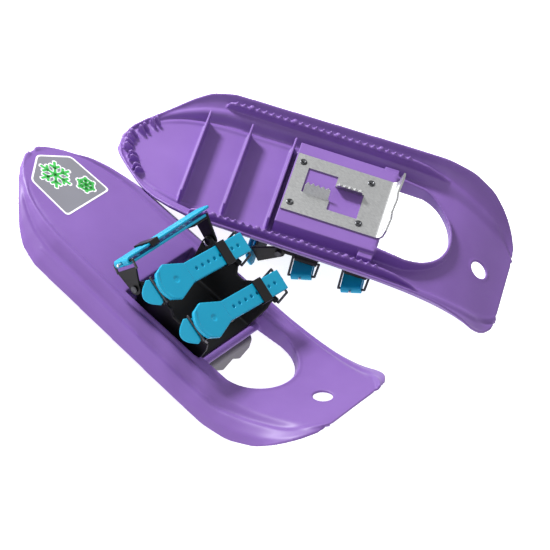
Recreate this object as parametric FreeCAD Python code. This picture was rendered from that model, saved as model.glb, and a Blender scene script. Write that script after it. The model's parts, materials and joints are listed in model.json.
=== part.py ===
import FreeCAD, Part
import math
import os

# A pair of children's moulded snowshoes. All sizes are in millimetres.
#
# One shoe is modelled in its own frame: X runs from the tail tip (0) to the nose, +Y is the
# far side, where the strap buckles are, and Z = 0 is the plane of the side rims.
# The pair is then placed: shoe "a" stands upright, shoe "b" lies upside down beside it.
# The frame of the pair has its origin at the bottom centre of the whole pair's box.

V = FreeCAD.Vector

# --- deck ---------------------------------------------------------------------------------
LENGTH = 432.0
WALL = 3.0
PANEL_Z = 24.0
GROOVE_DEPTH = 2.0
RIDGE_RISE = 1.5
RIDGE_START = 10.0
RIDGE_END = 350.0
RIDGE_FADE = 40.0
# Stations of the outer shell: x, panel height, then half widths of panel, ridge, shoulder
# and rim, shoulder height, rim height.
STATIONS = [
    (0.0, 24.0, 9.0, 12.0, 15.0, 17.0, 21.5, 19.0),
    (16.0, 24.0, 26.0, 30.0, 34.0, 37.0, 21.0, 18.0),
    (38.0, 24.0, 44.0, 50.0, 56.0, 61.0, 20.0, 16.0),
    (56.0, 24.0, 52.0, 58.0, 67.0, 77.0, 17.5, 9.0),
    (74.0, 24.0, 56.0, 64.0, 75.0, 88.0, 15.0, 2.0),
    (98.0, 24.0, 59.0, 68.0, 81.0, 95.0, 14.0, 0.0),
    (200.0, 24.0, 61.0, 71.0, 84.0, 97.0, 14.0, 0.0),
    (300.0, 24.0, 60.0, 72.0, 87.0, 99.0, 15.0, 0.0),
    (338.0, 25.5, 60.0, 73.0, 88.0, 100.0, 18.0, 1.0),
    (368.0, 33.0, 57.0, 68.0, 82.0, 99.0, 28.0, 8.0),
    (394.0, 44.0, 52.0, 62.0, 76.0, 95.0, 40.0, 23.0),
    (410.0, 53.0, 48.0, 58.0, 71.0, 89.0, 50.0, 41.0),
    (420.0, 59.0, 44.0, 54.0, 65.0, 81.0, 58.0, 53.0),
    (428.0, 63.5, 38.0, 47.0, 57.0, 70.0, 64.0, 59.5),
    (432.0, 65.0, 33.0, 41.0, 49.0, 59.0, 66.5, 62.5),
]
CAVITY_END = 420.0
CAVITY_START = 4.0

BAY_REAR = 181.5
BAY_HALF = 57.0
BAY_FLOOR = 7.0
BAY_FLOOR_T = 3.5

OPENING_REAR = 288.0
OPENING_HALF = 52.0
OPENING_STRAIGHT = 322.0
OPENING_FRONT = 362.0

BAR_R = 4.0
BAR_Z = 7.5
BOSS_R = 7.0
BOSS_Y = 58.0
BOSS_Z = 14.5

RIB_X = (79.0, 126.0, 174.0)
RIB_HALF = 62.0
RIB_T = 3.0

RAIL_Y = 82.0
RAIL_T = 3.0
RAIL_START = 100.0
RAIL_END = 300.0
RAIL_FIN_END = 320.0
TOOTH_PITCH = 8.0
TOOTH_H = 3.0

FIN_COUNT = 6
FIN_T = 2.5
FIN_LOW = 10.0

NOSE_HOLE_X = 400.0
NOSE_HOLE_R = 10.0

# --- label --------------------------------------------------------------------------------
LABEL_T = 0.3
LABEL_POINTS = [(4.0, 0.0), (28.0, 34.0), (83.0, 36.0), (83.0, -36.0), (28.0, -34.0)]

# --- crampon ------------------------------------------------------------------------------
PLATE_X0 = 183.0
PLATE_X1 = 286.0
PLATE_HALF = 42.0
PLATE_T = 2.0
FLANGE_BEND_R = 9.0
FLANGE_ANGLE = 80.0
FLANGE_DROP = 16.0
FLANGE_TEETH = (-29.0, 0.0, 29.0)
NOTCH_DEPTH = 8.0
# Cut-outs of the plate: x range and y range; a claw is folded along one long edge of each.
REAR_CUT = (198.0, 230.5, -25.0, 11.0)
FRONT_CUT = (229.0, 262.0, -11.0, 25.0)
CLAW_L = 14.0
CLAW_LEAN = 30.0
CLAW_TEETH = 5

# --- rivets -------------------------------------------------------------------------------
RIVET_X = (190.5, 265.5)
RIVET_Y = 30.5
RIVET_R = 2.0
RIVET_HEAD_R = 4.0
RIVET_HEAD_H = 1.4
WASHER_R = 5.5
WASHER_T = 1.0
HOLE_CLEARANCE = 0.05

# --- binding base ---------------------------------------------------------------------------
SOLE_X0 = 192.0
SOLE_X1 = 283.0
SOLE_HALF = 44.0
SOLE_T = 3.0
# Raised pad that carries the boot, between the rivets and a little higher than their heads.
PAD_X0 = 198.0
PAD_X1 = 258.0
PAD_HALF = 36.0
PAD_T = 2.5
PAD_CORNER_R = 6.0
WALL_T = 3.0
WALL_LEAN = 20.0
# Wall outline: distance along the shoe, distance up the leaning wall.
WALL_POINTS = [
    (196.0, 0.0), (282.5, 0.0), (288.0, 30.0), (287.0, 43.0), (259.0, 43.0), (250.0, 36.0),
    (241.0, 36.0), (235.0, 46.0), (196.0, 46.0), (190.0, 40.0),
]

# --- straps -------------------------------------------------------------------------------
STRAP_W = 22.0
STRAP_T = 2.6
WIRE_R = 1.3
WIRE_GAP = 0.4
RING_HALF = 14.2
SLEEVE_R = 3.2
# name, x at the ring (near side), x at the buckle (far side), height of both upper bars
CROSS_STRAPS = {
    "toe": (271.0, 279.0, 61.0),
    "instep": (217.0, 225.0, 65.0),
}
# The cross straps slope down towards the nose, like the top of a boot.
STRAP_TILT = 18.0
BAR_Y = 67.0
SLEEVE_RISE = 0.5
TAB_W = 40.0
TAIL_OVERHANG = 2.0
STRAP_HOLES = 8
STRAP_HOLE_PITCH = 9.5
STRAP_HOLE_R = 2.0
ANCHOR_R = 15.0
KEEPER_LENGTH = 13.0
KEEPER_T = 1.5
KEEPER_GAP = 0.5
KEEPER_LIP = 4.0
KEEPER_FROM_BUCKLE = 26.0
PRONG_R = 1.0
PRONG_L = 9.0
PRONG_DROP = 25.0

# --- heel strap -----------------------------------------------------------------------------
PIVOT_X = 195.0
PIVOT_Z = 43.0
PIVOT_R = 2.0
PIN_HEAD_R = 3.6
PIN_HEAD_H = 1.2
EAR_R = 6.0
EAR_Y0 = 58.5
EAR_T = 3.0
HEEL_BACK = 29.0
HEEL_ANGLE = 31.0
HEEL_STRAP_W = 20.0
HEEL_Y = 66.0
HEEL_KEEPER_Y = -24.0
LINK_T = 2.4
LINK_REACH = 21.0

# --- places of the two shoes ----------------------------------------------------------------
SHOE_A_PITCH = -5.08
SHOE_B_X = 1.0
SHOE_B_Y = 207.0
SHOE_B_YAW = 25.0
SHOE_B_PITCH = -15.95
SHOE_B_ROLL = 4.0


def polygon(points):
    """Closed wire through the points."""
    return Part.makePolygon(list(points) + [points[0]])


def prism(points, direction):
    """Solid swept from a flat polygon along a direction."""
    return Part.Face(polygon(points)).extrude(direction)


def box(x0, x1, y0, y1, z0, z1):
    """Axis-aligned box between two corners."""
    return Part.makeBox(x1 - x0, y1 - y0, z1 - z0, V(x0, y0, z0))


def rod(start, end, radius):
    """Round bar between two points."""
    along = end - start
    return Part.makeCylinder(radius, along.Length, start, along)


def fused(shapes):
    """One clean solid from overlapping shapes."""
    first = shapes[0]
    if len(shapes) > 1:
        first = first.multiFuse(shapes[1:])
    return first.removeSplitter()


def joined(shapes):
    """One solid from overlapping shapes, added one after the other."""
    result = shapes[0]
    for shape in shapes[1:]:
        result = result.fuse(shape)
    return result


def grouped(shapes):
    """Several separate solids kept together in one node."""
    return Part.makeCompound(shapes)


# --- deck -----------------------------------------------------------------------------------

def station_at(x):
    """Station values at any x, in line between the listed stations."""
    for low, high in zip(STATIONS, STATIONS[1:]):
        if low[0] <= x <= high[0]:
            t = (x - low[0]) / (high[0] - low[0])
            return tuple(a + t * (b - a) for a, b in zip(low, high))
    return STATIONS[-1]


def ridge_strength(x):
    """How strongly the ridge and its groove stand out: none at the tail tip and on the nose."""
    rear = (x - RIDGE_START) / RIDGE_FADE
    front = (RIDGE_END - x) / RIDGE_FADE
    return max(0.0, min(1.0, rear, front))


def shell_section(station):
    """Outline of the outer shell across the shoe at one station."""
    x, top, panel, ridge, shoulder, rim, shoulder_z, rim_z = station
    groove = panel + 0.4 * (ridge - panel)
    strength = ridge_strength(x)
    half = [
        (rim, rim_z),
        (shoulder, shoulder_z),
        (ridge, top + RIDGE_RISE * strength),
        (groove, top - 0.1 - (GROOVE_DEPTH - 0.1) * strength),
        (panel, top),
    ]
    left = [V(x, y, z) for y, z in half]
    right = [V(x, -y, z) for y, z in reversed(half)]
    return polygon(left + right)


def cavity_section(station):
    """Outline of the hollow under the shell at one station."""
    x, top, panel, ridge, shoulder, rim, shoulder_z, rim_z = station
    low = min(rim_z, top - 2.0 * WALL) - 12.0
    half = [
        (rim - WALL - 0.6, low),
        (rim - WALL - 0.6, min(rim_z + 0.2, top - WALL - 0.5)),
        (shoulder - WALL, min(shoulder_z - WALL + 0.5, top - WALL - 0.2)),
        (ridge - 1.0, top + RIDGE_RISE * ridge_strength(x) - WALL),
        (panel, top - WALL - 1.0 * ridge_strength(x)),
    ]
    left = [V(x, y, z) for y, z in half]
    right = [V(x, -y, z) for y, z in reversed(half)]
    return polygon(left + right)


def outer_solid():
    """Shell filled down to its rim."""
    return Part.makeLoft([shell_section(s) for s in STATIONS], True, True)


def cavity_solid():
    """Hollow that turns the filled shell into a wall."""
    xs = [CAVITY_START]
    xs += [s[0] for s in STATIONS if CAVITY_START < s[0] < CAVITY_END]
    xs.append(CAVITY_END)
    return Part.makeLoft([cavity_section(station_at(x)) for x in xs], True, True)


def opening_prism(grow, z0, z1):
    """Solid with the outline of the toe opening, grown sideways and forwards."""
    half = OPENING_HALF + grow
    rear = OPENING_REAR
    side = Part.LineSegment(V(rear, half, z0), V(OPENING_STRAIGHT, half, z0)).toShape()
    front = Part.Arc(
        V(OPENING_STRAIGHT, half, z0),
        V(OPENING_FRONT + grow, 0, z0),
        V(OPENING_STRAIGHT, -half, z0),
    ).toShape()
    other = Part.LineSegment(V(OPENING_STRAIGHT, -half, z0), V(rear, -half, z0)).toShape()
    back = Part.LineSegment(V(rear, -half, z0), V(rear, half, z0)).toShape()
    return Part.Face(Part.Wire([side, front, other, back])).extrude(V(0, 0, z1 - z0))


def opening_collar(outer):
    """Wall that lines the toe opening, low at the bar and thin at the nose."""
    ring = opening_prism(WALL, 0, 80).cut(opening_prism(0, -5, 85))
    below = prism(
        [V(280, -80, -5), V(280, -80, 2), V(325, -80, 9), V(372, -80, 26), V(372, -80, -5)],
        V(0, 160, 0),
    )
    return ring.common(outer).cut(below)


def bay_tub():
    """Floor and walls of the sunken bay for the binding."""
    outside = box(BAY_REAR, OPENING_REAR, -BAY_HALF - WALL, BAY_HALF + WALL,
                  BAY_FLOOR - BAY_FLOOR_T, PANEL_Z - 1.5)
    inside = box(BAY_REAR + WALL, OPENING_REAR + 1, -BAY_HALF, BAY_HALF, BAY_FLOOR, 60)
    return outside.cut(inside)


def cross_bar():
    """Round bar behind the toe opening with a rounded boss at each end."""
    bar = rod(V(OPENING_REAR, -BAY_HALF - 1, BAR_Z), V(OPENING_REAR, BAY_HALF + 1, BAR_Z), BAR_R)
    bosses = []
    for side in (-1, 1):
        foot = V(OPENING_REAR - 4, side * BOSS_Y, BAR_Z)
        bosses.append(rod(foot, foot + V(0, 0, BOSS_Z - BAR_Z), BOSS_R))
        bosses.append(Part.makeSphere(BOSS_R, foot + V(0, 0, BOSS_Z - BAR_Z)))
    return [bar] + bosses


def cross_ribs(outer):
    """Tall ribs across the underside."""
    ribs = []
    for x in RIB_X:
        ribs.append(box(x, x + RIB_T, -RIB_HALF, RIB_HALF, 0.5, 40).common(outer))
    return ribs


def toothed_rail(side, outer):
    """Rail along the side with a row of teeth and a fin that fades out towards the nose."""
    y = side * RAIL_Y - RAIL_T / 2.0
    count = int((RAIL_END - RAIL_START) / TOOTH_PITCH)
    points = [V(RAIL_START, y, 30), V(RAIL_START, y, 0)]
    for i in range(count):
        x = RAIL_START + i * TOOTH_PITCH
        points.append(V(x + 0.3 * TOOTH_PITCH, y, 0))
        points.append(V(x + 0.5 * TOOTH_PITCH, y, -TOOTH_H))
        points.append(V(x + 0.7 * TOOTH_PITCH, y, 0))
    points.append(V(RAIL_END, y, 0))
    points.append(V(RAIL_FIN_END, y, 12))
    points.append(V(RAIL_FIN_END, y, 30))
    rail = prism(points, V(0, RAIL_T, 0))
    above_rim = rail.common(outer)
    teeth = rail.common(box(0, LENGTH, -120, 120, -10, 0.0))
    return [above_rim, teeth]


def tail_fins(outer):
    """Short upright fins set round the tail edge on the underside."""
    fins = []
    for i in range(FIN_COUNT):
        t = (i + 0.5) / FIN_COUNT * 2.0 - 1.0
        y = t * 46.0
        x = 2.0 + abs(y) * 0.62
        fin = box(0, 13, -FIN_T / 2.0, FIN_T / 2.0, FIN_LOW, 22)
        fin.rotate(V(0, 0, 0), V(0, 0, 1), math.degrees(math.atan2(-y * 0.9, 40.0)))
        fin.translate(V(x, y, 0))
        fins.append(fin.common(outer_down(outer)))
    return fins


def outer_down(outer):
    """Filled shell reaching down to the fins' lower edge at the tail."""
    return outer.fuse(prism(
        [V(2, -8, FIN_LOW), V(2, 8, FIN_LOW), V(34, 52, FIN_LOW), V(60, 52, FIN_LOW),
         V(60, -52, FIN_LOW), V(34, -52, FIN_LOW)],
        V(0, 0, 20.5 - FIN_LOW),
    ))


def nose_hole_axis():
    """Middle of the nose hole on the top surface, and the surface's normal there."""
    low = station_at(NOSE_HOLE_X - NOSE_HOLE_R)
    high = station_at(NOSE_HOLE_X + NOSE_HOLE_R)
    slope = (high[1] - low[1]) / (high[0] - low[0])
    normal = V(-slope, 0, 1)
    normal.normalize()
    return V(NOSE_HOLE_X, 0, station_at(NOSE_HOLE_X)[1]), normal


def make_deck():
    """One-piece moulded shell with all its ribs, rails and walls."""
    outer = outer_solid()
    shell = outer.cut(cavity_solid())
    shell = shell.cut(box(BAY_REAR + WALL, OPENING_REAR + 1, -BAY_HALF, BAY_HALF, -20, 60))
    shell = shell.cut(opening_prism(0, -20, 80))
    pieces = [shell, bay_tub(), opening_collar(outer)]
    pieces += cross_bar()
    pieces += cross_ribs(outer)
    for side in (-1, 1):
        pieces += toothed_rail(side, outer)
    pieces += tail_fins(outer)
    deck = joined(pieces)
    centre, normal = nose_hole_axis()
    deck = deck.cut(rod(centre - normal * 20, centre + normal * 20, NOSE_HOLE_R))
    return deck.cut(rivet_holes())


# --- label ------------------------------------------------------------------------------------

def make_label():
    """Thin printed label on the tail."""
    points = [V(x, y, PANEL_Z) for x, y in LABEL_POINTS]
    points = [p + V(3, 0, 0) if p.x < 10 else p for p in points]
    return prism(points, V(0, 0, LABEL_T))


# --- crampon ------------------------------------------------------------------------------------

def rivet_places():
    """Centres of the four mounting rivets."""
    return [V(x, side * RIVET_Y, 0) for x in RIVET_X for side in (-1, 1)]


def rivet_holes():
    """Clearance holes for the four rivets."""
    radius = RIVET_R + HOLE_CLEARANCE
    return grouped([Part.makeCylinder(radius, 60, p + V(0, 0, -20)) for p in rivet_places()])


def plate_profile():
    """Side view of the plate: flat, then bent down into the front flange."""
    top = BAY_FLOOR - BAY_FLOOR_T
    low = top - PLATE_T
    angle = math.radians(FLANGE_ANGLE)
    centre = V(PLATE_X1, 0, low - FLANGE_BEND_R + PLATE_T)
    outer_r = FLANGE_BEND_R
    inner_r = FLANGE_BEND_R - PLATE_T

    def on_bend(radius, turn):
        return centre + V(radius * math.sin(turn), 0, radius * math.cos(turn))

    end_dir = V(math.cos(angle), 0, -math.sin(angle))
    outer_end = on_bend(outer_r, angle)
    inner_end = on_bend(inner_r, angle)
    outer_tip = outer_end + end_dir * FLANGE_DROP
    inner_tip = inner_end + end_dir * FLANGE_DROP
    edges = [
        Part.LineSegment(V(PLATE_X0, 0, top), on_bend(outer_r, 0)),
        Part.Arc(on_bend(outer_r, 0), on_bend(outer_r, angle / 2), outer_end),
        Part.LineSegment(outer_end, outer_tip),
        Part.LineSegment(outer_tip, inner_tip),
        Part.LineSegment(inner_tip, inner_end),
        Part.Arc(inner_end, on_bend(inner_r, angle / 2), on_bend(inner_r, 0)),
        Part.LineSegment(on_bend(inner_r, 0), V(PLATE_X0, 0, low)),
        Part.LineSegment(V(PLATE_X0, 0, low), V(PLATE_X0, 0, top)),
    ]
    return Part.Wire([e.toShape() for e in edges]), outer_tip, end_dir


def flange_notches(tip, end_dir):
    """Notches between and beside the three large teeth of the flange."""
    depth = NOTCH_DEPTH
    across = V(end_dir.z, 0, -end_dir.x) * 12
    notches = []
    edges = [-PLATE_HALF] + list(FLANGE_TEETH) + [PLATE_HALF]
    for left, right in zip(edges, edges[1:]):
        base = tip + end_dir * 0.5
        outline = [base + V(0, left, 0), base + V(0, right, 0)]
        if left == -PLATE_HALF:
            outline.append(base - end_dir * (0.4 * depth) + V(0, left, 0))
        elif right == PLATE_HALF:
            outline.append(base - end_dir * depth + V(0, right, 0))
        else:
            outline.append(base - end_dir * depth + V(0, 0.46 * right + 0.54 * left, 0))
        notch = prism(outline, across)
        notch.translate(across * -0.5)
        notches.append(notch)
    return notches


def make_crampon_plate():
    """Steel plate with two cut-outs, two serrated claws and a toothed front flange."""
    profile, tip, end_dir = plate_profile()
    plate = Part.Face(profile).extrude(V(0, 2 * PLATE_HALF, 0))
    plate.translate(V(0, -PLATE_HALF, 0))
    for notch in flange_notches(tip, end_dir):
        plate = plate.cut(notch)
    low = BAY_FLOOR - BAY_FLOOR_T - PLATE_T
    for x0, x1, y0, y1 in (REAR_CUT, FRONT_CUT):
        plate = plate.cut(box(x0, x1, y0, y1, -20, 20))
    plate = plate.cut(rivet_holes())
    rear = make_claw(REAR_CUT[0] + 2, REAR_CUT[1] - 3, REAR_CUT[3], -1, low)
    front = make_claw(FRONT_CUT[0] + 3, FRONT_CUT[1] - 2, FRONT_CUT[2], 1, low)
    return fused([plate, rear, front])


def make_claw(x0, x1, y, side, low):
    """Serrated claw folded down along one edge of its cut-out and leaning over it."""
    lean = math.radians(CLAW_LEAN)
    down = V(0, side * math.sin(lean), -math.cos(lean))
    away = V(0, -side * math.cos(lean), -math.sin(lean))
    root = V(0, y, low + PLATE_T) - down * 0.2
    pitch = (x1 - x0) / CLAW_TEETH
    points = [root + V(x0, 0, 0), root + V(x0, 0, 0) + down * (CLAW_L - 4)]
    for i in range(CLAW_TEETH):
        x = x0 + i * pitch
        points.append(root + V(x + 0.5 * pitch, 0, 0) + down * CLAW_L)
        points.append(root + V(x + pitch, 0, 0) + down * (CLAW_L - 2.5))
    points.append(root + V(x1, 0, 0))
    claw = prism(points, away * PLATE_T)
    return claw.cut(box(x0 - 5, x1 + 5, y - 20, y + 20, low + PLATE_T, low + 20))


# --- rivets -----------------------------------------------------------------------------------

def make_rivets():
    """Four rivets through plate, deck floor, binding sole and washer."""
    low = BAY_FLOOR - BAY_FLOOR_T - PLATE_T
    high = BAY_FLOOR + SOLE_T + WASHER_T
    rivets = []
    for p in rivet_places():
        shank = Part.makeCylinder(RIVET_R, high - low, p + V(0, 0, low))
        foot = Part.makeCylinder(RIVET_HEAD_R, RIVET_HEAD_H, p + V(0, 0, low - RIVET_HEAD_H))
        head = Part.makeCylinder(RIVET_HEAD_R, RIVET_HEAD_H, p + V(0, 0, high))
        rivets.append(fused([shank, foot, head]))
    return grouped(rivets)


def make_washers():
    """Four washers between the binding sole and the rivet heads."""
    washers = []
    for p in rivet_places():
        base = p + V(0, 0, BAY_FLOOR + SOLE_T)
        disc = Part.makeCylinder(WASHER_R, WASHER_T, base)
        washers.append(disc.cut(Part.makeCylinder(RIVET_R + HOLE_CLEARANCE, WASHER_T, base)))
    return grouped(washers)


# --- binding base -------------------------------------------------------------------------------

def wall_point(side, x, up):
    """Point on the inner face of a leaning wall."""
    lean = math.radians(WALL_LEAN)
    return V(x, side * (SOLE_HALF - WALL_T + up * math.sin(lean)), BAY_FLOOR + up * math.cos(lean))


def wall_normal(side):
    """Outward normal of a leaning wall."""
    lean = math.radians(WALL_LEAN)
    return V(0, side * math.cos(lean), -math.sin(lean))


def base_wall(side):
    """Leaning side wall with two lobes for the straps."""
    points = [wall_point(side, x, up) for x, up in WALL_POINTS]
    return prism(points, wall_normal(side) * WALL_T)


def bar_ends(name, side):
    """Ends of the upper wire bar that the strap runs round, on one side."""
    x = CROSS_STRAPS[name][0 if side < 0 else 1]
    z = CROSS_STRAPS[name][2]
    middle = V(x, side * BAR_Y, z)
    tilt = math.radians(STRAP_TILT)
    half = V(RING_HALF * math.cos(tilt), 0, -RING_HALF * math.sin(tilt))
    return middle - half, middle + half


def sleeve_centre(name, side):
    """Centre of the rubber sleeve at the top of the wall that holds the wire."""
    x = CROSS_STRAPS[name][0 if side < 0 else 1]
    up = 43.0 + SLEEVE_RISE if name == "toe" else 46.0 + SLEEVE_RISE
    return wall_point(side, x, up) + wall_normal(side) * (WALL_T / 2.0)


def base_sleeves():
    """Four rubber sleeves along the wall tops."""
    sleeves = []
    for name in CROSS_STRAPS:
        for side in (-1, 1):
            centre = sleeve_centre(name, side)
            half = V(RING_HALF - WIRE_R - 0.6, 0, 0)
            sleeves.append(rod(centre - half, centre + half, SLEEVE_R))
    return sleeves


def sleeve_bores():
    """Holes through the sleeves for the wire."""
    bores = []
    for name in CROSS_STRAPS:
        for side in (-1, 1):
            centre = sleeve_centre(name, side)
            half = V(RING_HALF + 4, 0, 0)
            bores.append(rod(centre - half, centre + half, WIRE_R + HOLE_CLEARANCE))
    return grouped(bores)


def ear(side):
    """Round ear on the wall that carries the heel pivot pin."""
    start = V(PIVOT_X, side * EAR_Y0, PIVOT_Z)
    return rod(start, start + V(0, side * EAR_T, 0), EAR_R)


def pivot_bores():
    """Holes for the two heel pivot pins."""
    radius = PIVOT_R + HOLE_CLEARANCE
    return rod(V(PIVOT_X, -90, PIVOT_Z), V(PIVOT_X, 90, PIVOT_Z), radius)


def pin_head_pockets():
    """Pockets in the walls for the inner heads of the heel pivot pins."""
    pockets = []
    for side in (-1, 1):
        start = V(PIVOT_X, side * (EAR_Y0 - 8.0), PIVOT_Z)
        end = V(PIVOT_X, side * (EAR_Y0 + 0.05), PIVOT_Z)
        pockets.append(rod(start, end, PIN_HEAD_R + 0.1))
    return grouped(pockets)


def sole_pad():
    """Raised flat pad in the middle of the sole, with rounded corners."""
    top = BAY_FLOOR + SOLE_T + PAD_T
    pad = box(PAD_X0, PAD_X1, -PAD_HALF, PAD_HALF, top - PAD_T - 1.0, top)
    upright = [e for e in pad.Edges if abs(e.tangentAt(e.FirstParameter).z) > 0.99]
    return pad.makeFillet(PAD_CORNER_R, upright)


def make_binding_base():
    """Rubber sole with a boot pad, two leaning side walls, wire sleeves and pivot ears."""
    sole = box(SOLE_X0, SOLE_X1, -SOLE_HALF, SOLE_HALF, BAY_FLOOR, BAY_FLOOR + SOLE_T)
    pieces = [sole, sole_pad()]
    for side in (-1, 1):
        pieces.append(base_wall(side))
        pieces.append(ear(side))
    pieces += base_sleeves()
    base = fused(pieces)
    base = base.cut(box(150, 320, -80, 80, BAY_FLOOR - 5, BAY_FLOOR))
    base = base.cut(rivet_holes()).cut(sleeve_bores())
    return base.cut(pivot_bores()).cut(pin_head_pockets())


# --- cross straps ---------------------------------------------------------------------------------

def make_wire_ring(name, side):
    """Closed wire loop: lower bar in the sleeve, upper bar under the strap."""
    up_a, up_b = bar_ends(name, side)
    centre = sleeve_centre(name, side)
    low_a = centre + V(-RING_HALF, 0, 0)
    low_b = centre + V(RING_HALF, 0, 0)
    corners = [up_a, up_b, low_b, low_a]
    pieces = [Part.makeSphere(WIRE_R, c) for c in corners]
    for start, end in zip(corners, corners[1:] + corners[:1]):
        pieces.append(rod(start, end, WIRE_R))
    return fused(pieces)


def strap_frame(name):
    """Buckle point, unit vectors along the strap (towards the ring), across it and up."""
    ring_x, buckle_x, z = CROSS_STRAPS[name]
    buckle = V(buckle_x, BAR_Y, z)
    along = V(ring_x - buckle_x, -2 * BAR_Y, 0)
    length = along.Length
    along.normalize()
    across = V(0, 0, 1).cross(along)
    return buckle, along, across, length


def tilted(name, shape):
    """Roll a strap piece about the strap's own middle line so that it slopes to the nose."""
    buckle, along, _, _ = strap_frame(name)
    shape.rotate(buckle, along, -STRAP_TILT)
    return shape


def strap_slab(name, start, end, width, low, high):
    """Flat piece of strap between two distances from the buckle and two heights."""
    buckle, along, across, _ = strap_frame(name)
    corner = buckle + along * start - across * (width / 2.0) + V(0, 0, low)
    points = [
        corner,
        corner + along * (end - start),
        corner + along * (end - start) + across * width,
        corner + across * width,
    ]
    return prism(points, V(0, 0, high - low))


LAYER_NEAR = WIRE_R + WIRE_GAP
LAYER_FAR = WIRE_R + WIRE_GAP + STRAP_T


def make_cross_strap(name):
    """Lower strap layer: fold at the buckle, run under both bars, anchor head outside the ring."""
    buckle, along, across, length = strap_frame(name)
    run = strap_slab(name, 0, length + 2.4, STRAP_W, -LAYER_FAR, -LAYER_NEAR)
    start = buckle - across * (STRAP_W / 2.0)
    tube = Part.makeCylinder(LAYER_FAR, STRAP_W, start, across)
    tube = tube.cut(Part.makeCylinder(LAYER_NEAR, STRAP_W, start, across))
    keep = strap_slab(name, -LAYER_FAR - 1, 0, STRAP_W + 2, -LAYER_FAR - 1, -LAYER_NEAR * 0.9)
    fold = tube.common(keep)
    ring = buckle + along * length
    head_centre = ring + V(0, 0, -LAYER_FAR)
    head = Part.makeCylinder(ANCHOR_R, STRAP_T, head_centre, V(0, 0, 1))
    half = strap_slab(name, length + 1.8, length + ANCHOR_R + 1, 2 * ANCHOR_R + 2,
                      -LAYER_FAR - 1, LAYER_FAR)
    head = head.common(half)
    head.rotate(head_centre + V(0, 0, STRAP_T / 2.0), across, 35)
    start, outward = cross_prong_line(name)
    hole = rod(start, start + outward * 2 * PRONG_L, PRONG_R + HOLE_CLEARANCE)
    return tilted(name, fused([run, fold, head]).cut(hole))


def make_cross_tail(name):
    """Upper strap layer with adjustment holes and a fan-shaped pull tab."""
    buckle, along, across, length = strap_frame(name)
    low = LAYER_NEAR
    high = LAYER_FAR
    run = strap_slab(name, TAIL_OVERHANG, length - 10, STRAP_W, low, high)
    neck = buckle + along * (length - 44) + V(0, 0, low)
    tip = buckle + along * (length + 2) + V(0, 0, low)
    wide = across * (TAB_W / 2.0)
    slim = across * (STRAP_W / 2.0)
    side_a = neck + along * 26 + wide
    side_b = neck + along * 26 - wide
    end_a = tip - along * 6 + across * (TAB_W / 2.0 - 5)
    end_b = tip - along * 6 - across * (TAB_W / 2.0 - 5)
    outline = Part.Wire([
        Part.LineSegment(neck - slim, side_b).toShape(),
        Part.LineSegment(side_b, end_b).toShape(),
        Part.Arc(end_b, tip, end_a).toShape(),
        Part.LineSegment(end_a, side_a).toShape(),
        Part.LineSegment(side_a, neck + slim).toShape(),
        Part.LineSegment(neck + slim, neck - slim).toShape(),
    ])
    tab = Part.Face(outline).extrude(V(0, 0, STRAP_T + 1.0))
    tail = fused([run, tab])
    for i in range(STRAP_HOLES):
        centre = buckle + along * (11.0 + i * STRAP_HOLE_PITCH)
        tail = tail.cut(Part.makeCylinder(STRAP_HOLE_R, 20, centre + V(0, 0, low - 5)))
    return tilted(name, tail)


def make_cross_keeper(name):
    """Clip round the upper layer, open below, with two short lips."""
    start = KEEPER_FROM_BUCKLE
    end = start + KEEPER_LENGTH
    low = LAYER_NEAR - KEEPER_GAP - KEEPER_T + 0.3
    high = LAYER_FAR + KEEPER_GAP + KEEPER_T
    outside = strap_slab(name, start, end, STRAP_W + 2 * (KEEPER_GAP + KEEPER_T), low, high)
    inside = strap_slab(name, start - 1, end + 1, STRAP_W + 2 * KEEPER_GAP,
                        LAYER_NEAR - KEEPER_GAP, LAYER_FAR + KEEPER_GAP)
    slot = strap_slab(name, start - 1, end + 1, STRAP_W - 2 * KEEPER_LIP, low - 1, LAYER_NEAR)
    return tilted(name, outside.cut(inside).cut(slot))


def cross_prong_line(name):
    """Start point and outward direction of the pin at the buckle."""
    buckle, along, _, _ = strap_frame(name)
    drop = math.radians(PRONG_DROP)
    outward = along * -math.cos(drop) + V(0, 0, -math.sin(drop))
    return buckle + outward * (WIRE_R + 0.05), outward


def make_cross_prong(name):
    """Steel pin that stands out of the fold at the buckle."""
    start, outward = cross_prong_line(name)
    pin = rod(start, start + outward * (PRONG_L - WIRE_R), PRONG_R)
    knob = Part.makeSphere(PRONG_R * 1.6, start + outward * (PRONG_L - WIRE_R))
    return tilted(name, fused([pin, knob]))


# --- heel strap -----------------------------------------------------------------------------------

def heel_frame():
    """Pivot point in the middle plane, unit vector back to the strap, and the strap's up."""
    angle = math.radians(HEEL_ANGLE)
    back = V(-math.cos(angle), 0, math.sin(angle))
    up = V(math.sin(angle), 0, math.cos(angle))
    return V(PIVOT_X, 0, PIVOT_Z), back, up


def heel_slab(y0, y1, width, near, far):
    """Upright piece of strap across the heel, between two distances back from the pivot."""
    pivot, back, up = heel_frame()
    corner = pivot + back * near - up * (width / 2.0) + V(0, y0, 0)
    points = [corner, corner + back * (far - near), corner + back * (far - near) + up * width,
              corner + up * width]
    return prism(points, V(0, y1 - y0, 0))


HEEL_FOLD_R = WIRE_R + 0.3
HEEL_IN = HEEL_BACK - HEEL_FOLD_R
HEEL_OUT = HEEL_BACK + HEEL_FOLD_R


def heel_prong_start():
    """Inner end of the pin in the heel strap's fold."""
    pivot, back, _ = heel_frame()
    return pivot + back * HEEL_BACK + V(0, -HEEL_Y + 1 - WIRE_R - 0.05, 0)


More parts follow.
